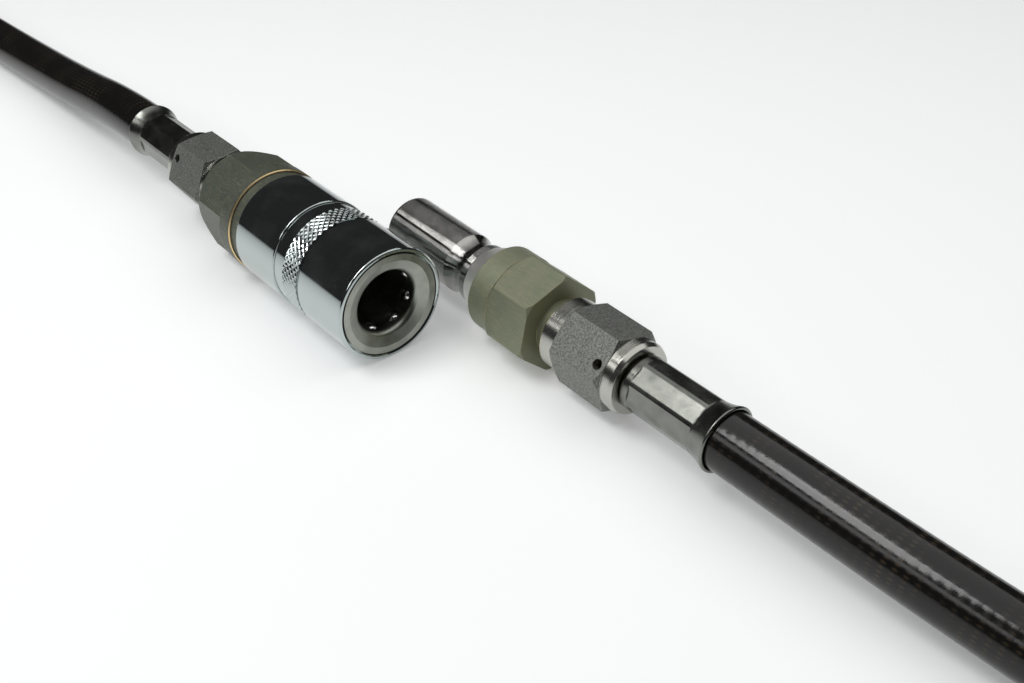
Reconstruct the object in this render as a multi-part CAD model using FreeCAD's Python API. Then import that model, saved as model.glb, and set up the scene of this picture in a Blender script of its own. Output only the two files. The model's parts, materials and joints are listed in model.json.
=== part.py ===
"""Ball-lock quick coupling: a socket half and a plug half lying side by side, each on a short hose.

Millimetres. The socket's axis is X, its mouth is at the origin and faces +X, and Z is up.
"""
import FreeCAD
import Part
import math
import os

# Socket mouth and bore
BORE_R = 7.7             # bore that takes the plug's tip
FACE_X = -0.2            # front face of the socket body, a little behind the sleeve's rim
FACE_INNER_R = 10.95     # inner edge of the flat front face
CONE_R = 8.65            # small end of the shallow lead-in cone
CONE_DEPTH = 0.95
LEAD_DEPTH = 1.6         # rounded lead-in from the cone into the bore
FLANGE_THICK = 1.6
NECK_R = 10.4            # outside of the socket body behind its flange
RELIEF_START = -26.0     # wider end of the bore, round the valve's nose
RELIEF_R = 8.3
BORE_END = -33.8
SEAT_OPENING_R = 4.6
WEB_THICK = 2.2
CHAMBER_R = 7.2
BODY_REAR = -57.0

# Locking balls and sleeve
BALL_COUNT = 8
BALL_X = -5.0
BALL_STICK = 0.6         # how far a locked ball stands into the bore
BALL_RISE = 0.22         # how far it stands out of the neck
BALL_CLEAR = 0.05        # how far a freed ball lies outside the bore
BALL_HOLE_GAP = 0.05
BALL_LIP_STEP = 0.07     # how much narrower than the ball its hole's inner end is, to keep it in
BALL_LIP_DEPTH = 0.95
BALL_CONE_GAP = 0.05     # between a ball and the sleeve's locking cone
FIRST_BALL_ANGLE = 24.5
SLEEVE_R = 14.0
SLEEVE_LENGTH = 45.6
SLEEVE_TRAVEL = 3.15
SLEEVE_STOP_GAP = 0.15   # between the sleeve's inner shoulder and the flange
SLEEVE_RIM_GAP = 0.35    # dark ring round the front face
SLIDE_GAP = 0.06
GUIDE_END = -12.5        # rear end of the sleeve's guide bore
RIM_WALL = 1.05          # sleeve's wall at its front rim
SPRING_WALL = 1.4        # sleeve's wall round its spring
SKIRT_WALL = 0.59        # sleeve's wall over the rear body
SKIRT_START = -37.5      # where the sleeve's bore opens to slide over the rear body
RIM_ROUND = 0.5
GRIP_FRONT = -18.2       # knurled band
GRIP_REAR = -24.1
GRIP_SINK = 0.2
GRIP_GROOVE = 0.55       # width and depth of the run-out groove in front of the band
STEP_X = -28.3           # rounded step behind the plain band
BAND_SINK = 0.4          # depth of the plain band and radius of the step

# Socket rear body with its spanner flats
LAND_FRONT = -41.0
SHOULDER_X = -49.1
SHOULDER_CHAMFER = 0.35
FLATS_START = -53.7
SOCKET_HEX = 24.0        # across flats
SOCKET_HEX_TURN = 42.3   # angle of one corner from the horizontal
SOCKET_REAR = -68.5
REAR_CHAMFER_LENGTH = 4.2
REAR_END_R = 11.6
GUIDE_SEAT_R = 7.6
GUIDE_SEAT_END = -60.0
GUIDE_LEDGE = 1.44       # width of the ledge behind the guide

# Seals
SEAL_FRONT = -19.0
SEAL_GROOVE_R = 9.6
BACKUP_WIDTH = 1.2
JOINT_SEAL_X = -54.0
JOINT_SEAL_R = 0.5
JOINT_GROOVE_WIDTH = 1.5

# Valves
POPPET_GAP = 0.4         # round the poppet's head
SEAT_GAP = 0.05
NOSE_R = 2.0
NOSE_END = -28.1
HEAD_LENGTH = 2.2
STEM_R = 2.3
STEM_LENGTH = 20.0
STEM_GAP = 0.05
VALVE_WIRE_R = 0.5
VALVE_TURNS = 5
GUIDE_FIT = 0.02
GUIDE_THICK = 3.0
GUIDE_PORTS = 3
GUIDE_PORT_R = 1.2
GUIDE_PORT_TURN = 60.0
SPRING_FILL = 0.64       # share of the room between neck and sleeve that the spring's wire takes
SLEEVE_TURNS = 7
SPRING_END_GAP = 0.05

# Plug half, measured from the end of its tip
TIP_R = 7.65
TIP_NOSE_ROUND = 1.0
GROOVE_START = 24.1      # rear edge of the tip's cylinder
GROOVE_CHAMFER = 1.1
GROOVE_MIDDLE = 27.5     # locking groove that takes the balls
GROOVE_HALF = 2.7
GROOVE_BOTTOM_R = 6.75
COLLAR_R = 7.6
UNDERCUT_WIDTH = 0.4     # thin groove between the collar and the flange
UNDERCUT_DEPTH = 0.35
TIP_FLANGE_START = 32.5  # steel cone that closes the plug body's front
TIP_FLANGE_FACE_R = 7.9
TIP_FLANGE_R = 10.0
PLUG_FRONT = 37.5        # front of the plug body
PLUG_ROUND_R = 10.7
PLUG_FRONT_CHAMFER = 0.5
PLUG_HEX = 21.0
PLUG_HEX_TURN = 138.5    # angle of one corner from the horizontal
PLUG_HEX_START = 44.3
PLUG_REAR = 57.7
PLUG_HEX_CORNER_R = 11.95
PLUG_FLOW_R = 5.8
PLUG_OPENING_R = 4.2
PLUG_SEAT_START = 2.5
PLUG_NOSE_START = 1.0
PLUG_THREAD_R = 7.0
PLUG_THREAD_END = 46.0
PLUG_GUIDE_START = 17.5
PLUG_STEM_LENGTH = 12.5
PLUG_PORT_R = 4.0

# Place of the plug half beside the socket half
PLUG_TIP_X = -29.6
PLUG_TIP_Y = 27.18
PLUG_YAW = -1.3

# Hose ends: distances run from the half's rear face towards the hose
STUB_R = 6.5
STUB_LENGTH = 10.0
STUB_BORE_R = 3.0
FACE_GAP = 0.05          # between the stub and the stem's sealing face
NUT_HEX = 17.5
NUT_LENGTH = 23.2
NUT_COLLAR = 4.6
NUT_REAR_COLLAR = 3.3
COLLAR_INSET = 0.15      # how far the turned collars lie inside the nut's flats
COLLAR_CHAMFER = 0.5
SOCKET_NUT_START = 1.3
SOCKET_NUT_TURN = -64.0
PLUG_NUT_START = 3.0
PLUG_NUT_TURN = 48.0
NUT_THREAD_GAP = 0.08
NUT_THREAD_END = 9.5
NUT_CAVITY_R = 6.9       # room for the stem's shoulder
NUT_WEB = 6.0            # length of the nut's narrow rear bore
NUT_END_GAP = 0.08       # between the nut's web and the stem's shoulder
WEEP_R = 1.2
WEEP_PLACE = 17.9
WEEP_TURN = 100.0        # degrees from the nut's first corner
STEM_NECK_R = 5.0
STEM_NECK_GAP = 0.08
STEM_SHOULDER_R = 6.1
STEM_TAIL_R = 3.2
STEM_BORE_R = 2.2
FERRULE_R = 6.45
FERRULE_WALL = 0.5
FERRULE_LENGTH = 24.7
FERRULE_GAP = 0.3        # between the nut's rear face and the ferrule
FERRULE_WEB = 2.0
FERRULE_FRONT_ROUND = 0.8
LIP_R = 7.55
LIP_LENGTH = 4.6
LIP_WALL = 0.6
LIP_ROLL = 0.3           # share of the lip's wall that its rolled edge drops at the middle
FLARE_SAG = 0.45         # share of the flare's rise that is reached at its middle
CRIMP_COUNT = 8
CRIMP_SINK = 0.32        # depth of the crimped flats at their middle
CRIMP_START = 2.3
CRIMP_LENGTH = 17.5
CRIMP_TURN = 35.0
HOSE_R = 6.7
HOSE_BORE_R = 3.25
FLOOR_Z = -SLEEVE_R

# Hose routes from the near lip to the far lip, as they lie
SOCKET_ROUTE = [(-136.0, 0.0, 0.0), (-168.0, -0.3, -3.9), (-204.0, -0.8, -6.5), (-243.0, -3.0, -7.1),
                (-283.0, -8.5, -3.8), (-320.0, -15.5, -3.8)]
PLUG_ROUTE = [(99.0, 24.26, -2.2), (133.0, 25.2, -3.7), (170.0, 28.0, -6.0), (208.0, 31.2, -7.0),
              (246.0, 36.0, -3.8), (282.0, 41.5, -3.8)]
ROUTE_ROUNDING = 0.45    # share of the shorter run that an arc takes up

X_AXIS = FreeCAD.Vector(1, 0, 0)
Z_AXIS = FreeCAD.Vector(0, 0, 1)
ORIGIN = FreeCAD.Vector(0, 0, 0)

# Worked-out sizes
RIM_R = SLEEVE_R - RIM_WALL
FLANGE_R = RIM_R - SLEEVE_RIM_GAP
FLANGE_REAR = FACE_X - FLANGE_THICK
BALL_R = (NECK_R + BALL_RISE - BORE_R + BALL_STICK) / 2
BALL_STROKE = BALL_STICK + BALL_CLEAR
CONE_SLOPE = BALL_STROKE / SLEEVE_TRAVEL
LOCKED_R = BORE_R - BALL_STICK + BALL_R
CONE_AT_BALL = LOCKED_R + (BALL_R + BALL_CONE_GAP) * math.hypot(1, CONE_SLOPE)
SLEEVE_GUIDE_R = NECK_R + SLIDE_GAP
SPRING_ROOM_R = SLEEVE_R - SPRING_WALL
SLEEVE_WIRE_R = SPRING_FILL * (SPRING_ROOM_R - NECK_R) / 2
SKIRT_R = SLEEVE_R - SKIRT_WALL
LAND_R = SKIRT_R - SLIDE_GAP
CONE_SMALL_X = BALL_X - (CONE_AT_BALL - SLEEVE_GUIDE_R) / CONE_SLOPE
SLEEVE_SHOULDER_X = FLANGE_REAR - SLEEVE_STOP_GAP
CONE_LARGE_R = CONE_AT_BALL + CONE_SLOPE * (SLEEVE_SHOULDER_X - BALL_X)
SEAT_X = BORE_END - WEB_THICK
SEAT_END = SEAT_X - (CHAMBER_R - SEAT_OPENING_R)
SEAL_R = (SEAL_GROOVE_R - BORE_R) / 2
SEAL_REAR = SEAL_FRONT - 2 * SEAL_R - BACKUP_WIDTH
PLUG_HEX_TRIM = 30 - math.degrees(math.acos(PLUG_HEX / 2 / PLUG_HEX_CORNER_R))
PLUG_HEX_LEAN = abs((300 - PLUG_HEX_TURN) % 60 - 30) - PLUG_HEX_TRIM
PLUG_HEX_REST = PLUG_HEX_CORNER_R * math.cos(math.radians(PLUG_HEX_LEAN))
PLUG_TIP = FreeCAD.Vector(PLUG_TIP_X, PLUG_TIP_Y, FLOOR_Z + PLUG_HEX_REST)
FLARE_RISE = LIP_R - FERRULE_R


def outline(stations):
    """Closed face in the X-R plane. A station is a corner (x, r), or a pair (middle, end) for an arc."""
    def point(pair):
        return FreeCAD.Vector(pair[0], pair[1], 0)

    edges = []
    start = point(stations[0])
    last = start
    for station in list(stations[1:]) + [stations[0]]:
        if isinstance(station[0], tuple):
            middle, end = (point(pair) for pair in station)
            edges.append(Part.Arc(last, middle, end).toShape())
        else:
            end = point(station)
            edges.append(Part.LineSegment(last, end).toShape())
        last = end
    return Part.Face(Part.Wire(edges))


def turned(stations):
    """Solid turned about the X axis from its half section."""
    return outline(stations).revolve(ORIGIN, X_AXIS, 360)


def round_corner(x, r, size, way_in, way_out):
    """Arc stations that round a square corner; the ways are unit steps along X and R out of the corner."""
    bend = size * (1 - math.sqrt(0.5))
    start = (x + way_in[0] * size, r + way_in[1] * size)
    end = (x + way_out[0] * size, r + way_out[1] * size)
    middle = (x + (way_in[0] + way_out[0]) * bend, r + (way_in[1] + way_out[1]) * bend)
    return [start, (middle, end)]


def rod(x0, x1, radius):
    """Cylinder along X between two places."""
    return Part.makeCylinder(radius, abs(x1 - x0), FreeCAD.Vector(min(x0, x1), 0, 0), X_AXIS)


def hex_prism(x0, x1, across_flats, corner_angle):
    """Hexagonal bar along X with one corner at the given angle from horizontal."""
    radius = across_flats / math.sqrt(3)
    corners = []
    for step in range(6):
        angle = math.radians(corner_angle + 60 * step)
        corners.append(FreeCAD.Vector(x0, radius * math.cos(angle), radius * math.sin(angle)))
    face = Part.Face(Part.makePolygon(corners + corners[:1]))
    return face.extrude(FreeCAD.Vector(x1 - x0, 0, 0))


def around(shape, count, first_angle=0.0):
    """Copies of a shape spaced evenly about the X axis."""
    copies = []
    for step in range(count):
        copy = shape.copy()
        copy.rotate(ORIGIN, X_AXIS, first_angle + 360 * step / count)
        copies.append(copy)
    return copies


def coil(x0, x1, mean_r, wire_r, turns):
    """Coil spring along X that fills the room between two seats."""
    length = abs(x1 - x0) - 2 * (wire_r + SPRING_END_GAP)
    pitch = length / turns
    spine = Part.Wire(Part.makeHelix(pitch, length, mean_r))
    wire = Part.Circle(FreeCAD.Vector(mean_r, 0, 0), FreeCAD.Vector(0, math.tau * mean_r, pitch), wire_r)
    halves = [Part.ArcOfCircle(wire, turn, turn + math.pi).toShape() for turn in (0.0, math.pi)]
    spring = spine.makePipeShell([Part.Wire(halves)], True, True)
    spring.rotate(ORIGIN, FreeCAD.Vector(0, 1, 0), 90)
    spring.translate(FreeCAD.Vector(min(x0, x1) + wire_r + SPRING_END_GAP, 0, 0))
    return spring


def socket_body():
    """Steel front body: lead-in, bore, ball holes, seal groove and valve seat."""
    cone_end = FACE_X - CONE_DEPTH
    lead_end = cone_end - LEAD_DEPTH
    lead_rise = CONE_R - BORE_R
    lead_r = (LEAD_DEPTH ** 2 + lead_rise ** 2) / (2 * lead_rise)
    half_turn = math.atan2(lead_rise, LEAD_DEPTH)
    lead_middle = (lead_end + lead_r * math.sin(half_turn), BORE_R + lead_r * (1 - math.cos(half_turn)))
    body = turned([
        (FACE_X, FACE_INNER_R), (FACE_X, FLANGE_R), (FLANGE_REAR, FLANGE_R), (FLANGE_REAR, NECK_R),
        (BODY_REAR, NECK_R), (BODY_REAR, CHAMBER_R), (SEAT_END, CHAMBER_R), (SEAT_X, SEAT_OPENING_R),
        (BORE_END, SEAT_OPENING_R), (BORE_END, RELIEF_R), (RELIEF_START, RELIEF_R), (RELIEF_START, BORE_R),
        (SEAL_REAR, BORE_R), (SEAL_REAR, SEAL_GROOVE_R),
        (SEAL_FRONT, SEAL_GROOVE_R), (SEAL_FRONT, BORE_R), (lead_end, BORE_R),
        (lead_middle, (cone_end, CONE_R)),
    ])
    hole_r = BALL_R + BALL_HOLE_GAP
    lip_top = BORE_R + BALL_LIP_DEPTH
    centre = FreeCAD.Vector(BALL_X, 0, 0)
    hole = Part.makeCylinder(hole_r, NECK_R + BALL_R - lip_top, centre + Z_AXIS * lip_top, Z_AXIS)
    slope = (BALL_HOLE_GAP + BALL_LIP_STEP) / BALL_LIP_DEPTH
    depth = BALL_LIP_DEPTH + BALL_R
    lip = Part.makeCone(hole_r - slope * depth, hole_r, depth, centre + Z_AXIS * (lip_top - depth), Z_AXIS)
    groove_r = NECK_R - 2 * JOINT_SEAL_R
    groove = turned(ring_section(JOINT_SEAL_X, groove_r, NECK_R + SLIDE_GAP, JOINT_GROOVE_WIDTH))
    return body.cut(around(hole.fuse(lip), BALL_COUNT, FIRST_BALL_ANGLE) + [groove])


def ring_section(x, inner, outer, width):
    """Rectangle section of a ring centred at x."""
    return [(x - width / 2, inner), (x - width / 2, outer), (x + width / 2, outer), (x + width / 2, inner)]


def locking_balls():
    """Steel balls standing into the bore, in the order of their angle."""
    ball = Part.makeSphere(BALL_R, FreeCAD.Vector(BALL_X, 0, LOCKED_R))
    return around(ball, BALL_COUNT, FIRST_BALL_ANGLE)


def locking_sleeve():
    """Sliding sleeve: locking cone, guide bore, spring room, rear skirt and grip band."""
    grip_r = SLEEVE_R - GRIP_SINK
    band_r = SLEEVE_R - BAND_SINK
    groove_x = GRIP_FRONT + GRIP_GROOVE
    rear = -SLEEVE_LENGTH
    stations = [(0.0, RIM_R + RIM_ROUND / 2)]
    stations += round_corner(0.0, SLEEVE_R, RIM_ROUND, (0, -1), (-1, 0))
    stations += [
        (groove_x + GRIP_GROOVE, SLEEVE_R), (groove_x, SLEEVE_R - GRIP_GROOVE),
        (GRIP_FRONT, SLEEVE_R - GRIP_GROOVE),
        (GRIP_FRONT, grip_r), (GRIP_REAR, grip_r), (GRIP_REAR, band_r),
    ]
    stations += round_corner(STEP_X, SLEEVE_R, BAND_SINK, (0, -1), (-1, 0))
    stations += round_corner(rear, SLEEVE_R, (SLEEVE_R - SKIRT_R) / 2, (1, 0), (0, -1))
    stations += [
        (rear, SKIRT_R), (SKIRT_START, SKIRT_R), (SKIRT_START, SPRING_ROOM_R), (GUIDE_END, SPRING_ROOM_R),
        (GUIDE_END, SLEEVE_GUIDE_R), (CONE_SMALL_X, SLEEVE_GUIDE_R), (SLEEVE_SHOULDER_X, CONE_LARGE_R),
        (SLEEVE_SHOULDER_X, RIM_R), (-RIM_ROUND / 2, RIM_R),
    ]
    return turned(stations)


def socket_rear_body():
    """Plated rear body: land under the sleeve, shoulder, spanner flats, valve guide seat and hose stub."""
    neck = SOCKET_REAR + REAR_CHAMFER_LENGTH
    chamfer = SHOULDER_CHAMFER
    port_r = GUIDE_SEAT_R - GUIDE_LEDGE
    stub_end = SOCKET_REAR - STUB_LENGTH
    bar = turned([
        (LAND_FRONT, NECK_R), (LAND_FRONT, LAND_R), (SHOULDER_X, LAND_R), (SHOULDER_X, SLEEVE_R - chamfer),
        (SHOULDER_X - chamfer, SLEEVE_R), (neck, SLEEVE_R), (SOCKET_REAR, REAR_END_R),
        (SOCKET_REAR, STUB_R),
        (stub_end, STUB_R), (stub_end, STUB_BORE_R), (SOCKET_REAR, STUB_BORE_R),
        (SOCKET_REAR + port_r - STUB_BORE_R, port_r), (GUIDE_SEAT_END, port_r),
        (GUIDE_SEAT_END, GUIDE_SEAT_R), (BODY_REAR, GUIDE_SEAT_R), (BODY_REAR, NECK_R),
    ])
    blank = rod(SOCKET_REAR, FLATS_START, 2 * SLEEVE_R)
    flats = blank.cut(hex_prism(SOCKET_REAR, FLATS_START, SOCKET_HEX, SOCKET_HEX_TURN))
    return bar.cut(flats)


def toroid(x, mean_r, section_r):
    """Round sealing ring about the X axis."""
    return Part.makeTorus(mean_r, section_r, FreeCAD.Vector(x, 0, 0), X_AXIS)


def poppet(nose_end, seat_x, seat_r, head_r, stem_length, way):
    """Valve poppet whose cone lies against a seat; way is +1 where it opens towards +X, or -1."""
    gap = SEAT_GAP * math.sqrt(2)
    cone_x = seat_x + way * gap
    head_end = cone_x + way * (head_r - seat_r + HEAD_LENGTH)
    stem_end = head_end + way * stem_length
    return turned([
        (nose_end, 0.0), (nose_end, NOSE_R), (cone_x - way * (seat_r - NOSE_R), NOSE_R),
        (cone_x + way * (head_r - seat_r), head_r), (head_end, head_r), (head_end, STEM_R),
        (stem_end, STEM_R), (stem_end, 0.0),
    ]), head_end


def valve_guide(x0, x1, outer_r, stem_r):
    """Drilled disc that holds a valve stem in line and lets oil past."""
    disc = rod(x0, x1, outer_r).cut(rod(x0, x1, stem_r))
    port_place = (outer_r + stem_r) / 2
    port = Part.makeCylinder(GUIDE_PORT_R, abs(x1 - x0), FreeCAD.Vector(min(x0, x1), 0, port_place), X_AXIS)
    return disc.cut(around(port, GUIDE_PORTS, GUIDE_PORT_TURN))


def socket_valve():
    """Poppet, spring and guide behind the socket's bore."""
    body, head_end = poppet(NOSE_END, SEAT_X, SEAT_OPENING_R, CHAMBER_R - POPPET_GAP, STEM_LENGTH, -1)
    guide_front = GUIDE_SEAT_END + GUIDE_THICK
    guide = valve_guide(GUIDE_SEAT_END, guide_front, GUIDE_SEAT_R - GUIDE_FIT, STEM_R + STEM_GAP)
    mean_r = STEM_R + POPPET_GAP + VALVE_WIRE_R
    spring = coil(head_end, guide_front, mean_r, VALVE_WIRE_R, VALVE_TURNS)
    return body, spring, guide


def plug_tip():
    """Steel tip: round nose, locking groove, collar and flange, with the valve seat inside."""
    groove_end = GROOVE_MIDDLE + GROOVE_HALF
    undercut_start = TIP_FLANGE_START - UNDERCUT_WIDTH
    undercut_r = COLLAR_R - UNDERCUT_DEPTH
    seat_end = PLUG_SEAT_START + PLUG_FLOW_R - PLUG_OPENING_R
    stations = [(0.0, PLUG_OPENING_R)]
    stations += round_corner(0.0, TIP_R, TIP_NOSE_ROUND, (0, -1), (1, 0))
    stations += [
        (GROOVE_START, TIP_R), (GROOVE_START + GROOVE_CHAMFER, TIP_R - GROOVE_CHAMFER / 2),
        ((GROOVE_MIDDLE, GROOVE_BOTTOM_R), (groove_end, COLLAR_R)), (undercut_start, COLLAR_R),
        (undercut_start, undercut_r), (TIP_FLANGE_START, undercut_r), (TIP_FLANGE_START, TIP_FLANGE_FACE_R),
        (PLUG_FRONT, TIP_FLANGE_R),
        (PLUG_FRONT, PLUG_THREAD_R), (PLUG_THREAD_END, PLUG_THREAD_R), (PLUG_THREAD_END, PLUG_FLOW_R),
        (seat_end, PLUG_FLOW_R), (PLUG_SEAT_START, PLUG_OPENING_R),
    ]
    return turned(stations)


def plug_valve():
    """Poppet, spring and guide inside the plug's tip."""
    head_r = PLUG_FLOW_R - POPPET_GAP
    body, head_end = poppet(PLUG_NOSE_START, PLUG_SEAT_START, PLUG_OPENING_R, head_r, PLUG_STEM_LENGTH, 1)
    guide_end = PLUG_GUIDE_START + GUIDE_THICK
    guide = valve_guide(PLUG_GUIDE_START, guide_end, PLUG_FLOW_R - GUIDE_FIT, STEM_R + STEM_GAP)
    mean_r = STEM_R + POPPET_GAP + VALVE_WIRE_R
    return body, coil(head_end, PLUG_GUIDE_START, mean_r, VALVE_WIRE_R, VALVE_TURNS), guide


def plug_body():
    """Plated plug body: turned front band, hexagon and hose stub."""
    stub_end = PLUG_REAR + STUB_LENGTH
    hexagon = hex_prism(PLUG_HEX_START, PLUG_REAR, PLUG_HEX, PLUG_HEX_TURN)
    half = PLUG_HEX / 2
    slope = PLUG_HEX_CORNER_R - half
    trim = turned([
        (PLUG_HEX_START, 0.0), (PLUG_HEX_START, half), (PLUG_HEX_START + slope, PLUG_HEX_CORNER_R),
        (PLUG_REAR - slope / 2, PLUG_HEX_CORNER_R), (PLUG_REAR, PLUG_HEX_CORNER_R - slope / 2),
        (PLUG_REAR, 0.0),
    ])
    chamfer = PLUG_FRONT_CHAMFER
    band_end = PLUG_HEX_START + slope
    band = turned([
        (PLUG_FRONT, 0.0), (PLUG_FRONT, PLUG_ROUND_R - chamfer), (PLUG_FRONT + chamfer, PLUG_ROUND_R),
        (PLUG_HEX_START, PLUG_ROUND_R), (PLUG_HEX_START, half), (band_end, half), (band_end, 0.0),
    ])
    stub = rod(PLUG_REAR, stub_end, STUB_R)
    bore = turned([
        (PLUG_FRONT, 0.0), (PLUG_FRONT, PLUG_THREAD_R), (PLUG_THREAD_END, PLUG_THREAD_R),
        (PLUG_THREAD_END, PLUG_PORT_R), (PLUG_REAR - STUB_BORE_R, PLUG_PORT_R), (PLUG_REAR, STUB_BORE_R),
        (stub_end, STUB_BORE_R), (stub_end, 0.0),
    ])
    return hexagon.common(trim).fuse([band, stub]).removeSplitter().cut(bore)


def swivel_nut(start, turn):
    """Hexagon swivel nut with turned collars at both ends and a weep hole in one flat."""
    end = start + NUT_LENGTH
    half = NUT_HEX / 2
    collar_r = half - COLLAR_INSET
    hex_start = start + NUT_COLLAR
    hex_end = end - NUT_REAR_COLLAR
    corner_r = NUT_HEX / math.sqrt(3)
    slope = corner_r - half
    trim = turned([
        (hex_start, 0.0), (hex_start, half), (hex_start + slope / 2, corner_r),
        (hex_end - slope / 2, corner_r), (hex_end, half), (hex_end, 0.0),
    ])
    chamfer = COLLAR_CHAMFER
    collars = turned([
        (start, 0.0), (start, collar_r - chamfer), (start + chamfer, collar_r),
        (end - 2 * chamfer, collar_r), (end, collar_r - chamfer), (end, 0.0),
    ])
    thread_r = STUB_R + NUT_THREAD_GAP
    web_r = STEM_NECK_R + STEM_NECK_GAP
    bore = turned([
        (start, 0.0), (start, thread_r), (NUT_THREAD_END, thread_r), (NUT_THREAD_END, NUT_CAVITY_R),
        (end - NUT_WEB, NUT_CAVITY_R), (end - NUT_WEB, web_r), (end, web_r), (end, 0.0),
    ])
    weep_centre = FreeCAD.Vector(start + WEEP_PLACE, 0, 0)
    weep = Part.makeCylinder(WEEP_R, corner_r, weep_centre, FreeCAD.Vector(0, 1, 0))
    weep.rotate(ORIGIN, X_AXIS, turn + WEEP_TURN)
    nut = hex_prism(hex_start, hex_end, NUT_HEX, turn).common(trim).fuse(collars)
    return nut.cut([bore, weep])


def hose_stem(start):
    """Hose stem: flat sealing face, shoulder that the nut pulls on, neck and tail inside the hose."""
    end = start + NUT_LENGTH
    shoulder_end = end - NUT_WEB - NUT_END_GAP
    ferrule_start = end + FERRULE_GAP
    tail_end = ferrule_start + FERRULE_WEB + CRIMP_LENGTH
    face = STUB_LENGTH + FACE_GAP
    return turned([
        (face, STEM_BORE_R), (face, STEM_SHOULDER_R), (shoulder_end, STEM_SHOULDER_R),
        (shoulder_end, STEM_NECK_R), (ferrule_start, STEM_NECK_R),
        (ferrule_start, STEM_TAIL_R), (tail_end, STEM_TAIL_R), (tail_end, STEM_BORE_R),
    ])


def ferrule(start):
    """Thin crimped ferrule: eight long flats and a flared lip where the hose comes out."""
    front = start + NUT_LENGTH + FERRULE_GAP
    end = front + FERRULE_LENGTH
    flare = end - LIP_LENGTH
    inner_r = FERRULE_R - FERRULE_WALL
    stations = [(front, STEM_TAIL_R)]
    stations += round_corner(front, FERRULE_R, FERRULE_FRONT_ROUND, (0, -1), (1, 0))
    stations += [
        (flare, FERRULE_R),
        ((flare + LIP_LENGTH / 2, FERRULE_R + FLARE_RISE * FLARE_SAG), (end - LIP_WALL, LIP_R)),
        ((end, LIP_R - LIP_WALL * LIP_ROLL), (end, LIP_R - LIP_WALL)), (end - LIP_WALL, HOSE_R),
        (flare, inner_r), (front + FERRULE_WEB, inner_r), (front + FERRULE_WEB, STEM_TAIL_R),
    ]
    shell = turned(stations)
    flat_r = FERRULE_R - CRIMP_SINK
    cutter = Part.makeBox(
        CRIMP_LENGTH, 2 * FERRULE_R, FERRULE_R, FreeCAD.Vector(front + CRIMP_START, -FERRULE_R, flat_r))
    return shell.cut(around(cutter, CRIMP_COUNT, CRIMP_TURN))


def crimped_end(start):
    """End of the hose squeezed between the ferrule and the stem's tail."""
    front = start + NUT_LENGTH + FERRULE_GAP + FERRULE_WEB
    end = front + FERRULE_LENGTH - FERRULE_WEB
    flare = end - LIP_LENGTH
    squeezed = FERRULE_R - FERRULE_WALL
    return turned([
        (front, STEM_TAIL_R), (front, squeezed), (flare, squeezed), (end - LIP_WALL, HOSE_R), (end, HOSE_R),
        (end, HOSE_BORE_R), (front + CRIMP_LENGTH, HOSE_BORE_R), (front + CRIMP_LENGTH, STEM_TAIL_R),
    ])


def hose_exit(start):
    """Distance from the half's rear face to the ferrule's lip."""
    return start + NUT_LENGTH + FERRULE_GAP + FERRULE_LENGTH


def placed(shape, point, direction):
    """Copy of a shape moved so that its X axis runs level from point along direction."""
    copy = shape.copy()
    yaw = math.degrees(math.atan2(direction.y, direction.x))
    copy.Placement = FreeCAD.Placement(point, FreeCAD.Rotation(Z_AXIS, yaw)).multiply(copy.Placement)
    return copy


def route_path(points):
    """Straight runs joined by tangent arcs, each as large as its two runs allow, with the arcs' radii."""
    edges = []
    radii = []
    last = points[0]
    for before, corner, after in zip(points, points[1:], points[2:]):
        into = (corner - before).normalize()
        out = (after - corner).normalize()
        reach = ROUTE_ROUNDING * min(before.distanceToPoint(corner), corner.distanceToPoint(after))
        half_turn = into.getAngle(out) / 2
        start = corner - into * reach
        end = corner + out * reach
        bisector = (out - into).normalize()
        radius = reach / math.tan(half_turn)
        middle = corner + bisector * (math.hypot(radius, reach) - radius)
        edges += [Part.LineSegment(last, start).toShape(), Part.Arc(start, middle, end).toShape()]
        radii.append(radius)
        last = end
    edges.append(Part.LineSegment(last, points[-1]).toShape())
    return Part.Wire(edges), radii


def hose_tube(points):
    """Hollow hose along its route."""
    path, radii = route_path(points)
    direction = points[1] - points[0]
    tubes = []
    for radius in (HOSE_R, HOSE_BORE_R):
        section = Part.Wire(Part.makeCircle(radius, points[0], direction))
        tubes.append(path.makePipeShell([section], True, False))
    tube = tubes[0].cut(tubes[1])
    expected = math.pi * (HOSE_R ** 2 - HOSE_BORE_R ** 2) * path.Length
    print("hose length", round(path.Length, 1), "radii", [round(r) for r in radii],
          "volume ratio", round(tube.Volume / expected, 4))
    return tube


def hose_assembly(prefix, start, turn, rear_point, rear_direction, route):
    """Both hose ends and the hose of one half, as named shapes."""
    near_lip = rear_point + rear_direction * hose_exit(start)
    points = [near_lip] + [FreeCAD.Vector(*place) for place in route]
    far_direction = (points[-2] - points[-1]).normalize()
    far_point = points[-1] - far_direction * hose_exit(start)
    nut = swivel_nut(start, turn)
    ends = {"": (rear_point, rear_direction), "far_": (far_point, far_direction)}
    shapes = {}
    hose = hose_tube(points)
    for end, (point, direction) in ends.items():
        shapes[f"{prefix}_{end}swivel_nut"] = placed(nut, point, direction)
        shapes[f"{prefix}_{end}hose_stem"] = placed(hose_stem(start), point, direction)
        shapes[f"{prefix}_{end}ferrule"] = placed(ferrule(start), point, direction)
        hose = hose.fuse(placed(crimped_end(start), point, direction))
    shapes[f"{prefix}_hose"] = hose
    print(prefix, "far mouth", [round(v, 3) for v in far_point + far_direction * start],
          "direction", [round(v, 5) for v in far_direction])
    return shapes


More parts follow.
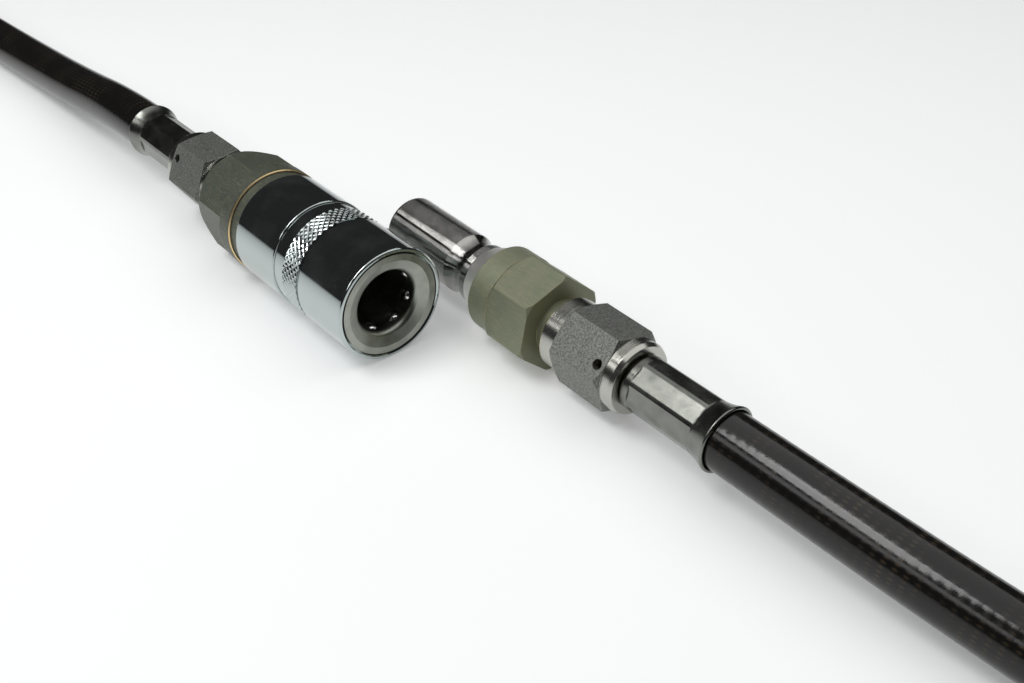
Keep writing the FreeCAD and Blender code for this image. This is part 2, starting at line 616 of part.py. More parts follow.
def socket_half():
    """All pieces of the socket half."""
    valve, valve_spring, guide = socket_valve()
    shapes = {
        "socket_body": socket_body(),
        "socket_rear_body": socket_rear_body(),
        "locking_sleeve": locking_sleeve(),
        "sleeve_spring": coil(
            LAND_FRONT, GUIDE_END, (NECK_R + SPRING_ROOM_R) / 2, SLEEVE_WIRE_R, SLEEVE_TURNS),
        "socket_seal": toroid(SEAL_FRONT - SEAL_R, BORE_R + SEAL_R, SEAL_R),
        "socket_backup_ring": turned(
            ring_section(SEAL_REAR + BACKUP_WIDTH / 2, BORE_R, SEAL_GROOVE_R, BACKUP_WIDTH)),
        "socket_joint_seal": toroid(JOINT_SEAL_X, NECK_R - JOINT_SEAL_R, JOINT_SEAL_R),
        "socket_poppet": valve,
        "socket_poppet_spring": valve_spring,
        "socket_poppet_guide": guide,
    }
    for number, ball in enumerate(locking_balls(), 1):
        shapes[f"locking_ball_{number}"] = ball
    rear = FreeCAD.Vector(SOCKET_REAR, 0, 0)
    shapes.update(hose_assembly("socket", SOCKET_NUT_START, SOCKET_NUT_TURN, rear, -X_AXIS, SOCKET_ROUTE))
    return shapes


def plug_half():
    """All pieces of the plug half, moved to where it lies."""
    valve, valve_spring, guide = plug_valve()
    local = {
        "plug_tip": plug_tip(),
        "plug_body": plug_body(),
        "plug_poppet": valve,
        "plug_poppet_spring": valve_spring,
        "plug_poppet_guide": guide,
    }
    yaw = math.radians(PLUG_YAW)
    direction = FreeCAD.Vector(math.cos(yaw), math.sin(yaw), 0)
    shapes = {name: placed(shape, PLUG_TIP, direction) for name, shape in local.items()}
    rear = PLUG_TIP + direction * PLUG_REAR
    shapes.update(hose_assembly("plug", PLUG_NUT_START, PLUG_NUT_TURN, rear, direction, PLUG_ROUTE))
    return shapes


def main():
    """Builds both halves and writes one file for each piece."""
    os.makedirs("parts", exist_ok=True)
    shapes = socket_half()
    shapes.update(plug_half())
    for name, shape in shapes.items():
        if not shape.isValid() or len(shape.Solids) != 1:
            raise ValueError(f"{name}: {len(shape.Solids)} solids, valid {shape.isValid()}")
        shape.Solids[0].exportStep(f"parts/{name}.step")


main()
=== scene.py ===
import json
import math
from collections import namedtuple

import bpy
from bpy.props import FloatProperty, FloatVectorProperty, IntProperty, PointerProperty
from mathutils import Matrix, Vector


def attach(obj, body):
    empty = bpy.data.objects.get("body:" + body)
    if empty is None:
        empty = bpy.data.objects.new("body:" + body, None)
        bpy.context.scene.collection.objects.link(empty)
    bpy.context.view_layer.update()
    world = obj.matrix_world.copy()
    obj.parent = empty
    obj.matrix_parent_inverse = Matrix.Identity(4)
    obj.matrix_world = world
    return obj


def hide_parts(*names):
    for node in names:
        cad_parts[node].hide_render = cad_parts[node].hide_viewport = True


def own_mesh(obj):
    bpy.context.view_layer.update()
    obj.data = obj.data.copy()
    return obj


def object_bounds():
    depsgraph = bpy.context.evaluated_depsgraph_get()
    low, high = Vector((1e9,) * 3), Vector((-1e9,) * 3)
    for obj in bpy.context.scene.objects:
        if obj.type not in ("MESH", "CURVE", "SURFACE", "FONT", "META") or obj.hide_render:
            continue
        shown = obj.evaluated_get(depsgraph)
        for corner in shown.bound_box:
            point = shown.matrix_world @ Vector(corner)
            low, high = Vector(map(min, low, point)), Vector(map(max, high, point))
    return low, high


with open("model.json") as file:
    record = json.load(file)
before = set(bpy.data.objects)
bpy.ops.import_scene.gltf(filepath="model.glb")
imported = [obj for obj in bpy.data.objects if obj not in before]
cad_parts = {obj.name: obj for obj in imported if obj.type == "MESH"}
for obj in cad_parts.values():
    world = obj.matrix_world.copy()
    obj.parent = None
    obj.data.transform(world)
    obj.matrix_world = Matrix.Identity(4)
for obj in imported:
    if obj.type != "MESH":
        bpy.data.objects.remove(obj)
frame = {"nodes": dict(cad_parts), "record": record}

bl_info = {
    "name": "Quick Coupling Looks",
    "version": (1, 0, 0),
    "blender": (4, 5, 0),
    "location": "View3D > Sidebar > Coupling",
    "description": "Finishes, knurl, springs, hoses and studio for a ball-lock quick coupling",
    "category": "Object",
}

CAD_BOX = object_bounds()
MM = 0.001
MOUNTS = {mount["name"]: mount for mount in frame["record"]["mounts"]}

# Places along the socket half's axis, in millimetres from its mouth
GRIP_FRONT = -18.2
GRIP_REAR = -24.1
SHOULDER = -49.1
SHOULDER_EDGE = 0.3      # width of the shoulder's yellow edge: yellow plating with a painted highlight
PAINTED_SHADE_WIDTH = 0.25        # width of the painted shade line on each side of it
SOCKET_REAR = -68.5

# Places along the plug half's axis, in millimetres from the end of its tip
TIP_MOUNT = 12.5
TIP_FLANGE = 32.5
PLUG_REAR = 57.7

# Hose ends, in millimetres from the half's rear face
NUT_STARTS = {"socket": 1.3, "plug": 3.0}
NUT_MOUNT = 4.0
NUT_LENGTH = 23.2
NUT_COLLAR = 4.6
NUT_REAR_COLLAR = 3.3
NUT_EDGE = 0.6           # width of the yellow rim
HOSE_EXIT = 48.2

# Hoses, in millimetres: the routes are the points after the near ferrule's lip
HOSE_DIAMETER = 13.4
ROUTES = {
    "socket": [(-136.0, 0.0, 0.0), (-168.0, -0.3, -3.9), (-204.0, -0.8, -6.5), (-243.0, -3.0, -7.1),
               (-283.0, -8.5, -3.8), (-320.0, -15.5, -3.8)],
    "plug": [(99.0, 24.26, -2.2), (133.0, 25.2, -3.7), (170.0, 28.0, -6.0), (208.0, 31.2, -7.0),
             (246.0, 36.0, -3.8), (282.0, 41.5, -3.8)],
}

# Fineness of the meshes
KNURL_SAMPLES = 12       # per diamond
BRAID_SAMPLES = 4        # per strand
ROUTE_RESOLUTION = 100   # points between two of a route's points
SPRING_STEPS = 32        # per turn
SPRING_SIDES = 12
FLOOR_SIDES = 96

# Finishes, in millimetres
TURNED_PITCH = 0.09
COLLAR_PITCH = 0.12
TIP_PITCH = 0.12
TIP_RING_DEPTH = 0.0086
STEEL_EDGE = 0.12
OLIVE_EDGE = 0.22
NUT_ROUNDING = 0.2

# Colour of the painted shade lines beside the shoulder's yellow edge, and the floor's roughness
PAINTED_SHADE_COLOUR = (0.004, 0.004, 0.003)
FLOOR_ROUGHNESS = 0.4

# The photograph's camera
PICTURE_WIDTH = 1024                      # pixels
CAMERA_PLACE = (190.9, -124.45, 151.45)   # millimetres
CAMERA_WAY = (-40.0, 35.54)               # azimuth and elevation in degrees
CAMERA_FOCAL = 1200.0                     # pixels
CAMERA_CLIP = 10.0                        # millimetres
SENSOR_WIDTH = 36.0                       # millimetres

# Azimuth and elevation of the lamps from the mouth, in degrees
SOFTBOX_WAY = (90.0, 74.0)
KEY_WAY = (-118.0, 60.0)
FILL_WAY = (-108.0, 36.0)


class Place:
    """A level axis in the part's frame: where it starts, in metres, and its turn about Z."""

    def __init__(self, origin, yaw=0.0):
        self.origin = Vector(origin)
        self.yaw = yaw

    def along(self, millimetres):
        """The point that lies that far along the axis."""
        step = Vector((math.cos(self.yaw), math.sin(self.yaw), 0.0))
        return self.origin + step * millimetres * MM

    def at(self, x, y, z):
        """The point that far along, beside and above the axis, in millimetres."""
        side = Vector((-math.sin(self.yaw), math.cos(self.yaw), 0.0))
        return self.along(x) + (side * y + Vector((0.0, 0.0, z))) * MM


def mount_place(name, back):
    """The axis that a mount points against, started the given distance before the mount."""
    mount = MOUNTS[name]
    way = -Vector(mount["axis"])
    return Place(Vector(mount["pos_m"]) - way * back * MM, math.atan2(way.y, way.x))


SOCKET = Place((0.0, 0.0, 0.0))
PLUG = mount_place("tip", TIP_MOUNT)
HOSE_ENDS = {
    "socket_": Place(SOCKET.along(SOCKET_REAR), math.pi),
    "plug_": Place(PLUG.along(PLUG_REAR), PLUG.yaw),
    "socket_far_": mount_place("socket_hose_nut", NUT_MOUNT + NUT_STARTS["socket"]),
    "plug_far_": mount_place("plug_hose_nut", NUT_MOUNT + NUT_STARTS["plug"]),
}

# Springs, in millimetres along their half's axis, with the joint that presses each one together
Spring = namedtuple("Spring", "place fixed_seat moving_seat mean_radius wire_radius turns joint")
SPRINGS = {
    "sleeve_spring": Spring(SOCKET, -41.0, -12.5, 11.5, 0.704, 7, "sleeve_slide"),
    "socket_poppet_spring": Spring(SOCKET, -57.0, -40.471, 3.2, 0.5, 5, "socket_valve_slide"),
    "plug_poppet_spring": Spring(PLUG, 17.5, 5.97, 3.2, 0.5, 5, "plug_valve_slide"),
}
SPRING_END_GAP = 0.05


class Value:
    """A shader socket whose maths is written as Python expressions."""

    def __init__(self, finish, socket):
        self.finish = finish
        self.socket = socket

    def __add__(self, other):
        return self.finish.maths("ADD", self, other)

    def __sub__(self, other):
        return self.finish.maths("SUBTRACT", self, other)

    def __rsub__(self, other):
        return self.finish.maths("SUBTRACT", other, self)

    def __mul__(self, other):
        return self.finish.maths("MULTIPLY", self, other)

    def __truediv__(self, other):
        return self.finish.maths("DIVIDE", self, other)

    def __rtruediv__(self, other):
        return self.finish.maths("DIVIDE", other, self)

    def __pow__(self, other):
        return self.finish.maths("POWER", self, other)

    def __gt__(self, other):
        return self.finish.maths("GREATER_THAN", self, other)

    def __lt__(self, other):
        return self.finish.maths("LESS_THAN", self, other)

    __radd__ = __add__
    __rmul__ = __mul__


class Finish:
    """A material and the nodes that make it."""

    def __init__(self, name):
        self.material = bpy.data.materials.new(name)
        self.material.use_nodes = True
        self.tree = self.material.node_tree
        self.tree.nodes.clear()

    def node(self, kind, settings=None, sockets=None, output=0):
        """Adds a node: its settings first, then the values or links of its sockets."""
        made = self.tree.nodes.new(kind)
        for key, value in (settings or {}).items():
            setattr(made, key, value)
        for key, value in (sockets or {}).items():
            if isinstance(value, Value):
                self.tree.links.new(value.socket, made.inputs[key])
            else:
                made.inputs[key].default_value = value
        return Value(self, made.outputs[output]) if made.outputs else None

    def maths(self, operation, *values):
        return self.node("ShaderNodeMath", {"operation": operation}, dict(enumerate(values)))

    def limited(self, value):
        """The value held between 0 and 1."""
        return self.node("ShaderNodeClamp", None, {"Value": value})

    def mixed(self, share, first, second):
        """A colour between two colours."""
        return self.node("ShaderNodeMix", {"data_type": "RGBA"}, {0: share, 6: first, 7: second}, output=2)

    def vector(self, x, y, z):
        return self.node("ShaderNodeCombineXYZ", None, {"X": x, "Y": y, "Z": z})

    def noise(self, vector, scale, detail=2.0, roughness=0.5):
        return self.node("ShaderNodeTexNoise", None,
                         {"Vector": vector, "Scale": scale, "Detail": detail, "Roughness": roughness})

    def stretched(self, value, low, high):
        """The value spread so that low becomes 0 and high becomes 1."""
        return self.node("ShaderNodeMapRange", None, {"Value": value, "From Min": low, "From Max": high})

    def attribute(self, name):
        return self.node("ShaderNodeAttribute", {"attribute_name": name}, output=2)

    def local(self, place):
        """Millimetres along an axis, beside it and above it."""
        point = self.node("ShaderNodeTexCoord", output=3)
        turned = self.node("ShaderNodeMapping", {"vector_type": "TEXTURE"},
                           {"Vector": point, "Location": place.origin, "Rotation": (0.0, 0.0, place.yaw)})
        split = self.node("ShaderNodeSeparateXYZ", None, {0: turned}).socket.node.outputs
        return [Value(self, split[axis]) / MM for axis in range(3)]

    def point(self):
        """The place on the part, in millimetres."""
        place = self.node("ShaderNodeTexCoord", output=3)
        return self.node("ShaderNodeVectorMath", {"operation": "SCALE"}, {0: place, "Scale": 1.0 / MM})

    def edge(self, width):
        """How near an outer or inner edge is, from 0 on a flat to about 1 at a square edge."""
        soft = self.node("ShaderNodeBevel", {"samples": 6}, {"Radius": width * MM})
        true = self.node("ShaderNodeNewGeometry", output=1)
        agree = self.node("ShaderNodeVectorMath", {"operation": "DOT_PRODUCT"}, {0: soft, 1: true}, output=1)
        return self.stretched(agree, 1.0, 0.75), soft

    def bump(self, height, depth, normal=None):
        """A bump of the given depth in millimetres."""
        sockets = {"Height": height, "Distance": depth * MM, "Strength": 1.0}
        if normal is not None:
            sockets["Normal"] = normal
        return self.node("ShaderNodeBump", None, sockets)

    def surface(self, **sockets):
        """Ends the material in a Principled surface with these sockets."""
        named = {key.replace("_", " ").title().replace("Ior", "IOR"): value
                 for key, value in sockets.items()}
        shader = self.node("ShaderNodeBsdfPrincipled", None, named)
        self.node("ShaderNodeOutputMaterial", None, {"Surface": shader})
        return self.material


def direction(azimuth, elevation):
    """Unit step towards an azimuth and elevation in degrees."""
    azimuth, elevation = math.radians(azimuth), math.radians(elevation)
    level = math.cos(elevation)
    return Vector((level * math.cos(azimuth), level * math.sin(azimuth), math.sin(elevation)))


def colour(values):
    """A colour with its alpha."""
    return (*values, 1.0)


def turned_marks(finish, place, pitch):
    """Fine rings left by the lathe, as a height from 0 to 1."""
    x, y, z = finish.local(place)
    radius = (y * y + z * z) ** 0.5
    turn = finish.maths("ARCTAN2", z, y) / math.tau
    lines = finish.vector(x / pitch, radius / pitch, turn * 2.0)
    return finish.noise(lines, 1.0, detail=3.0, roughness=0.6)


def steel_bloom(finish, tint):
    """Steel's clouded colour, and the bloom that clouds it."""
    bloom = finish.noise(finish.point(), 0.25, detail=4.0)
    dark = colour([channel * 0.72 for channel in tint])
    return finish.mixed(finish.stretched(bloom, 0.3, 0.6), dark, colour(tint)), bloom


def chrome_plate(name, tint):
    """Bright plating with faint handling marks."""
    finish = Finish(name)
    smudge = finish.noise(finish.point(), 0.12, detail=4.0)
    specks = finish.noise(finish.point(), 2.2, detail=2.0)
    film = finish.stretched(smudge, 0.45, 0.75)
    rough = 0.04 + 0.06 * film + 0.05 * finish.stretched(specks, 0.62, 0.8)
    return finish.surface(base_color=colour(tint), metallic=0.985 - 0.03 * film, roughness=rough)


def turned_steel(name, tint, place, rough, depth):
    """Lathe-turned steel with fine uneven rings and a soft bloom."""
    finish = Finish(name)
    shade, bloom = steel_bloom(finish, tint)
    marks = turned_marks(finish, place, TURNED_PITCH)
    normal = finish.bump(marks, depth, finish.edge(STEEL_EDGE)[1])
    return finish.surface(base_color=shade, metallic=1.0, roughness=rough * (0.7 + bloom), normal=normal)


def polished_tip(name, tint, satin, place):
    """Polished steel with fine even rings, and a satin flange whose paler colour is a painted highlight on
    the same steel.
    """
    finish = Finish(name)
    shade, bloom = steel_bloom(finish, tint)
    x = finish.local(place)[0]
    # Painted highlight: the flange is paler than the tip's steel; its higher roughness is the real satin
    # finish
    flange = x > TIP_FLANGE
    shade = finish.mixed(flange, shade, colour(satin))
    rings = 0.5 + 0.5 * finish.maths("SINE", x * (math.tau / TIP_PITCH))
    normal = finish.bump(rings, TIP_RING_DEPTH, finish.edge(STEEL_EDGE)[1])
    rough = 0.05 * (0.7 + bloom) + 0.38 * flange
    return finish.surface(base_color=shade, metallic=1.0, roughness=rough, normal=normal)


def passivated_plate(name, tint, warm, gold, place=None, gold_highlight_span=None):
    """Satin olive plating, clouded, with a grain, and yellow edges that are partly wear and partly a painted
    highlight.
    """
    finish = Finish(name)
    clouds = finish.noise(finish.point(), 0.22, detail=6.0, roughness=0.6)
    grain = finish.noise(finish.point(), 3.2, detail=3.0)
    drawn = finish.node("ShaderNodeMapping", None, {"Vector": finish.point(), "Scale": (0.5, 5.0, 5.0)})
    marks = finish.noise(drawn, 1.0, detail=3.0, roughness=0.65)
    shade = finish.mixed(finish.stretched(clouds, 0.35, 0.72), colour(tint), colour(warm))
    shade = finish.mixed(0.22 * finish.stretched(marks, 0.48, 0.75), shade, colour(gold))
    edge, soft = finish.edge(OLIVE_EDGE)
    # Yellow along the edges: partly worn plating, partly a painted edge highlight
    bright = finish.limited(edge * finish.stretched(grain, 0.2, 0.6)) * 0.7
    if gold_highlight_span:
        x = finish.local(place)[0]
        # Painted shade: near-black lines on each side of the shoulder's yellow edge stand for the shadow in
        # its corner
        beside = (x > gold_highlight_span[0] - PAINTED_SHADE_WIDTH) * (x < gold_highlight_span[1] + PAINTED_SHADE_WIDTH)
        shade = finish.mixed(beside * 0.75, shade, colour(PAINTED_SHADE_COLOUR))
        # The shoulder's chamfer gets the full yellow edge: yellow plating, plus a painted highlight of the
        # light it catches
        bright = finish.limited(bright + (x > gold_highlight_span[0]) * (x < gold_highlight_span[1]))
    shade = finish.mixed(bright, shade, colour(gold))
    rough = 0.36 + 0.18 * grain - 0.1 * bright
    normal = finish.bump(grain, 0.012, soft)
    return finish.surface(base_color=shade, metallic=0.35 + 0.55 * bright, roughness=rough, normal=normal)


def nut_plate(name, looks, place, start):
    """Grainy dark plating on a nut's flats, with bright turned collars, and edges painted bright: partly
    worn plating, partly a painted highlight.
    """
    finish = Finish(name)
    x = finish.local(place)[0]
    end = start + NUT_LENGTH
    collar = finish.limited((x < start + NUT_COLLAR) + (x > end - NUT_REAR_COLLAR))
    rim = x < start + NUT_EDGE
    grain = finish.noise(finish.point(), 2.6, detail=5.0, roughness=0.7)
    clouds = finish.noise(finish.point(), 0.3, detail=3.0)
    flat = finish.mixed(finish.stretched(grain, 0.38, 0.64), colour(looks.nut_dark), colour(looks.nut_light))
    edge, soft = finish.edge(NUT_ROUNDING)
    # The edges take the collars' bright steel: partly worn plating, partly a painted highlight
    shade = finish.mixed(finish.limited(edge * 0.8 + collar), flat, colour(looks.collar_steel))
    shade = finish.mixed(rim, shade, colour(looks.gold))
    rough = 0.42 + 0.12 * clouds - 0.27 * collar
    marks = turned_marks(finish, place, COLLAR_PITCH)
    height = grain * (1 - collar) + marks * collar * 0.5
    return finish.surface(base_color=shade, metallic=0.7 + 0.3 * collar, roughness=rough,
                          normal=finish.bump(height, 0.03, soft))


def hose_cover(name, looks):
    """Glossy near-black cover with the braid's small bumps and a faint yarn."""
    finish = Finish(name)
    along = finish.attribute("along")
    around = finish.attribute("around")
    one = finish.maths("SINE", (along / looks.braid_pitch + around) * math.tau)
    other = finish.maths("SINE", (along / looks.braid_pitch - around) * math.tau)
    weave = one * other * 0.5 + 0.5
    cloud = finish.noise(finish.point(), 0.12, detail=4.0)
    yarn = finish.limited(finish.stretched(weave, 0.55, 1.0) * finish.stretched(cloud, 0.4, 0.65)) * 0.6
    shade = finish.mixed(yarn, colour(looks.cover), colour(looks.yarn))
    rough = 0.08 + 0.08 * weave + 0.06 * cloud
    normal = finish.bump(finish.noise(finish.point(), 1.4, detail=2.0), 0.01)
    return finish.surface(base_color=shade, roughness=rough, normal=normal, specular_ior_level=0.38)


def plain_finish(name, tint, rough, metallic=0.0):
    """Moulded, drawn or ground surface with a little cloud and grain."""
    finish = Finish(name)
    grain = finish.noise(finish.point(), 2.0, detail=4.0)
    pale = colour([min(1.0, channel * 1.25) for channel in tint])
    shade = finish.mixed(finish.stretched(grain, 0.35, 0.7), colour(tint), pale)
    normal = finish.bump(grain, 0.01)
    return finish.surface(base_color=shade, roughness=rough + 0.1 * grain, metallic=metallic, normal=normal)


def studio_floor(name, tint, lift, gloss):
    """Glossy white floor that keeps soft shadows and reads as white to the camera and in reflections."""
    finish = Finish(name)
    path = finish.node("ShaderNodeLightPath").socket.node.outputs
    seen = [Value(finish, path[ray]) for ray in ("Is Camera Ray", "Is Glossy Ray", "Is Transmission Ray")]
    shown = finish.limited(seen[0] + seen[1] + seen[2])
    paper = finish.node("ShaderNodeBsdfDiffuse", None, {"Color": colour(tint)})
    glow = finish.node("ShaderNodeEmission", None, {"Color": colour(tint), "Strength": lift})
    lifted = finish.node("ShaderNodeAddShader", None, {0: paper, 1: glow})
    white = finish.node("ShaderNodeMixShader", None, {0: shown, 1: paper, 2: lifted})
    mirror = finish.node("ShaderNodeBsdfGlossy", None, {"Color": colour(tint), "Roughness": FLOOR_ROUGHNESS})
    grazing = finish.node("ShaderNodeLayerWeight", None, {"Blend": 0.5}, output=1) ** gloss
    glossy = finish.node("ShaderNodeMixShader", None, {0: grazing, 1: white, 2: mirror})
    finish.node("ShaderNodeOutputMaterial", None, {"Surface": glossy})
    return finish.material


def dress(nodes, material):
    """Gives CAD nodes a finish."""
    for node in nodes:
        for slot in frame["nodes"][node].material_slots:
            slot.material = material


def grid_mesh(name, rows, capped=False, ended=False):
    """Mesh object from rows of points, each closed on itself; a face may fill the first and the last row."""
    count = len(rows[0])
    faces = [tuple(reversed(range(count)))] if capped else []
    if ended:
        faces.append(tuple(range((len(rows) - 1) * count, len(rows) * count)))
    for row in range(len(rows) - 1):
        for step in range(count):
            after = (step + 1) % count
            low, high = row * count, (row + 1) * count
            faces.append((low + step, low + after, high + after, high + step))
    mesh = bpy.data.meshes.new(name)
    mesh.from_pydata([point for row in rows for point in row], [], faces)
    mesh.update()
    mesh.shade_smooth()
    piece = bpy.data.objects.new(name, mesh)
    bpy.context.scene.collection.objects.link(piece)
    return piece


def ridge(turns):
    """Height of a V-groove pattern, 0 in a groove and 1 between two."""
    return 1.0 - abs(2.0 * (turns % 1.0) - 1.0)


class CouplingLooks(bpy.types.PropertyGroup):
    """Sizes and colours of the coupling's finishes."""

    knurl_count: IntProperty(
        name="Knurl Diamonds", description="Diamonds round the sleeve's grip band", default=52, min=12)
    knurl_pitch: FloatProperty(
        name="Knurl Pitch", description="Length of a diamond along the sleeve, in millimetres",
        default=1.75, min=0.3)
    knurl_root: FloatProperty(
        name="Knurl Root", description="Radius at the bottom of the knurl, in millimetres",
        default=13.78, min=1.0)
    knurl_depth: FloatProperty(
        name="Knurl Depth", description="Height of the diamonds, in millimetres", default=0.215, min=0.0)
    knurl_crown: FloatProperty(
        name="Knurl Crown", description="Power that rounds the diamonds, 1 for a plain pyramid",
        default=0.7, min=0.1, max=1.0)
    braid_count: IntProperty(
        name="Braid Strands", description="Strands of one hand round a hose", default=20, min=6)
    braid_pitch: FloatProperty(
        name="Braid Pitch", description="Length of one braid cell along a hose, in millimetres",
        default=4.6, min=0.5)
    braid_relief: FloatProperty(
        name="Braid Relief", description="Height of the braid under the cover, in millimetres",
        default=0.02, min=0.0)
    chrome: FloatVectorProperty(
        name="Chrome", description="Plating of the locking sleeve", subtype="COLOR",
        default=(0.46, 0.51, 0.50))
    ball: FloatVectorProperty(
        name="Balls", description="Polished locking balls", subtype="COLOR", default=(0.82, 0.82, 0.80))
    steel: FloatVectorProperty(
        name="Steel", description="Turned steel of the socket's front body and the valves", subtype="COLOR",
        default=(0.36, 0.37, 0.33))
    tip: FloatVectorProperty(
        name="Tip", description="Polished steel of the plug's tip", subtype="COLOR",
        default=(0.40, 0.395, 0.375))
    # Paler than the tip's steel: the flange's highlight is painted into this colour
    satin: FloatVectorProperty(
        name="Satin", description="Satin flange of the plug's tip", subtype="COLOR",
        default=(0.90, 0.89, 0.85))
    ferrule: FloatVectorProperty(
        name="Ferrule", description="Crimped ferrules", subtype="COLOR", default=(0.225, 0.23, 0.21))
    collar_steel: FloatVectorProperty(
        name="Collar", description="Bright turned collars of the nuts", subtype="COLOR",
        default=(0.46, 0.46, 0.42))
    olive_dark: FloatVectorProperty(
        name="Dark Olive", description="Plating of the socket's rear body", subtype="COLOR",
        default=(0.072, 0.090, 0.072))
    olive_dark_warm: FloatVectorProperty(
        name="Dark Olive Cloud", description="Warmer cloud in that plating", subtype="COLOR",
        default=(0.092, 0.106, 0.084))
    olive: FloatVectorProperty(
        name="Olive", description="Plating of the plug's body", subtype="COLOR",
        default=(0.205, 0.230, 0.158))
    olive_warm: FloatVectorProperty(
        name="Olive Cloud", description="Warmer cloud in that plating", subtype="COLOR",
        default=(0.245, 0.258, 0.175))
    # This yellow also serves as a painted highlight on the plated edges and the shoulder's chamfer
    gold: FloatVectorProperty(
        name="Yellow Edge", description="Yellow passivation along edges", subtype="COLOR",
        default=(0.72, 0.56, 0.30))
    nut_dark: FloatVectorProperty(
        name="Nut Dark", description="Dark grains on the nuts", subtype="COLOR",
        default=(0.10, 0.105, 0.095))
    nut_light: FloatVectorProperty(
        name="Nut Light", description="Light grains on the nuts", subtype="COLOR",
        default=(0.33, 0.34, 0.31))
    cover: FloatVectorProperty(
        name="Hose Cover", description="Near-black cover of the hoses", subtype="COLOR",
        default=(0.008, 0.0075, 0.007))
    yarn: FloatVectorProperty(
        name="Yarn", description="Brown yarn under the cover", subtype="COLOR",
        default=(0.075, 0.054, 0.030))
    rubber: FloatVectorProperty(
        name="Rubber", description="Seals", subtype="COLOR", default=(0.02, 0.02, 0.02))
    backup: FloatVectorProperty(
        name="Backup Ring", description="Plastic ring behind the seal", subtype="COLOR",
        default=(0.70, 0.69, 0.64))


class CouplingStage(bpy.types.PropertyGroup):
    """Floor and lamps of the studio."""

    floor: FloatVectorProperty(
        name="Floor", description="Colour of the floor", subtype="COLOR", default=(0.90, 0.91, 0.91))
    lift: FloatProperty(
        name="Floor Lift", description="How much whiter the floor reads than its light makes it",
        default=0.24, min=0.0)
    reach: FloatProperty(
        name="Floor Reach", description="Radius of the floor", default=5.0, unit="LENGTH")
    gloss: FloatProperty(
        name="Floor Gloss", description="How late the floor's gloss sets in towards a grazing view",
        default=6.0, min=1.0)
    box_distance: FloatProperty(
        name="Softbox Distance", description="Distance of the softbox from the mouth",
        default=1.2, unit="LENGTH")
    box_width: FloatProperty(
        name="Softbox Width", description="Width of the softbox along the coupling",
        default=1.5, unit="LENGTH")
    box_height: FloatProperty(
        name="Softbox Height", description="Size of the softbox across the coupling",
        default=1.9, unit="LENGTH")
    box_power: FloatProperty(
        name="Softbox Power", description="Power of the softbox", default=9.6, unit="POWER")
    key_distance: FloatProperty(
        name="Key Distance", description="Distance of the key panel from the mouth",
        default=1.25, unit="LENGTH")
    key_width: FloatProperty(
        name="Key Width", description="Width of the key panel", default=0.6, unit="LENGTH")
    key_height: FloatProperty(
        name="Key Height", description="Height of the key panel", default=0.5, unit="LENGTH")
    key_power: FloatProperty(
        name="Key Power", description="Power of the key panel", default=7.0, unit="POWER")
    fill_distance: FloatProperty(
        name="Fill Distance", description="Distance of the fill panel from the mouth",
        default=0.8, unit="LENGTH")
    fill_width: FloatProperty(
        name="Fill Width", description="Width of the fill panel", default=0.7, unit="LENGTH")
    fill_height: FloatProperty(
        name="Fill Height", description="Height of the fill panel", default=0.17, unit="LENGTH")
    fill_power: FloatProperty(
        name="Fill Power", description="Power of the fill panel", default=0.8, unit="POWER")
    surround: FloatProperty(
        name="Surround", description="Brightness of the dark room", default=0.02, min=0.0)


class COUPLING_OT_sleeve(bpy.types.Operator):
    """Chromes the locking sleeve and cuts its knurled grip"""

    bl_idname = "coupling.sleeve"
    bl_label = "Locking Sleeve"

    def execute(self, context):
        looks = context.scene.coupling_looks
        plate = chrome_plate("sleeve_chrome", looks.chrome)
        dress(["locking_sleeve"], plate)
        across = looks.knurl_count * KNURL_SAMPLES
        length = GRIP_FRONT - GRIP_REAR
        along = round(length / looks.knurl_pitch * KNURL_SAMPLES)
        rows = []
        for row in range(along + 1):
            x = GRIP_REAR + length * row / along
            ring = []
            for step in range(across):
                turn = step / KNURL_SAMPLES
                lift = (x - GRIP_REAR) / looks.knurl_pitch
                height = min(ridge(turn + lift), ridge(turn - lift)) ** looks.knurl_crown
                radius = looks.knurl_root + looks.knurl_depth * height
                angle = math.tau * step / across
                ring.append((x * MM, radius * math.cos(angle) * MM, radius * math.sin(angle) * MM))
            rows.append(ring)
        knurl = grid_mesh("sleeve_knurl", rows)
        knurl.data.shade_flat()
        knurl.data.materials.append(plate)
        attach(knurl, "sleeve")
        return {"FINISHED"}


class COUPLING_OT_socket(bpy.types.Operator):
    """Finishes the socket's front body, balls and plated rear body"""

    bl_idname = "coupling.socket"
    bl_label = "Socket Half"

    def execute(self, context):
        looks = context.scene.coupling_looks
        dress(["socket_body"], turned_steel("socket_steel", looks.steel, SOCKET, rough=0.28, depth=0.006))
        balls = [node for node in frame["nodes"] if node.startswith("locking_ball_")]
        dress(balls, chrome_plate("ball_steel", looks.ball))
        plated = passivated_plate("socket_olive", looks.olive_dark, looks.olive_dark_warm, looks.gold,
                                  SOCKET, (SHOULDER - SHOULDER_EDGE, SHOULDER))
        dress(["socket_rear_body"], plated)
        return {"FINISHED"}


class COUPLING_OT_plug(bpy.types.Operator):
    """Finishes the plug's polished tip and plated body"""

    bl_idname = "coupling.plug"
    bl_label = "Plug Half"

    def execute(self, context):
        looks = context.scene.coupling_looks
        dress(["plug_tip"], polished_tip("tip_steel", looks.tip, looks.satin, PLUG))
        dress(["plug_body"], passivated_plate("plug_olive", looks.olive, looks.olive_warm, looks.gold))
        return {"FINISHED"}


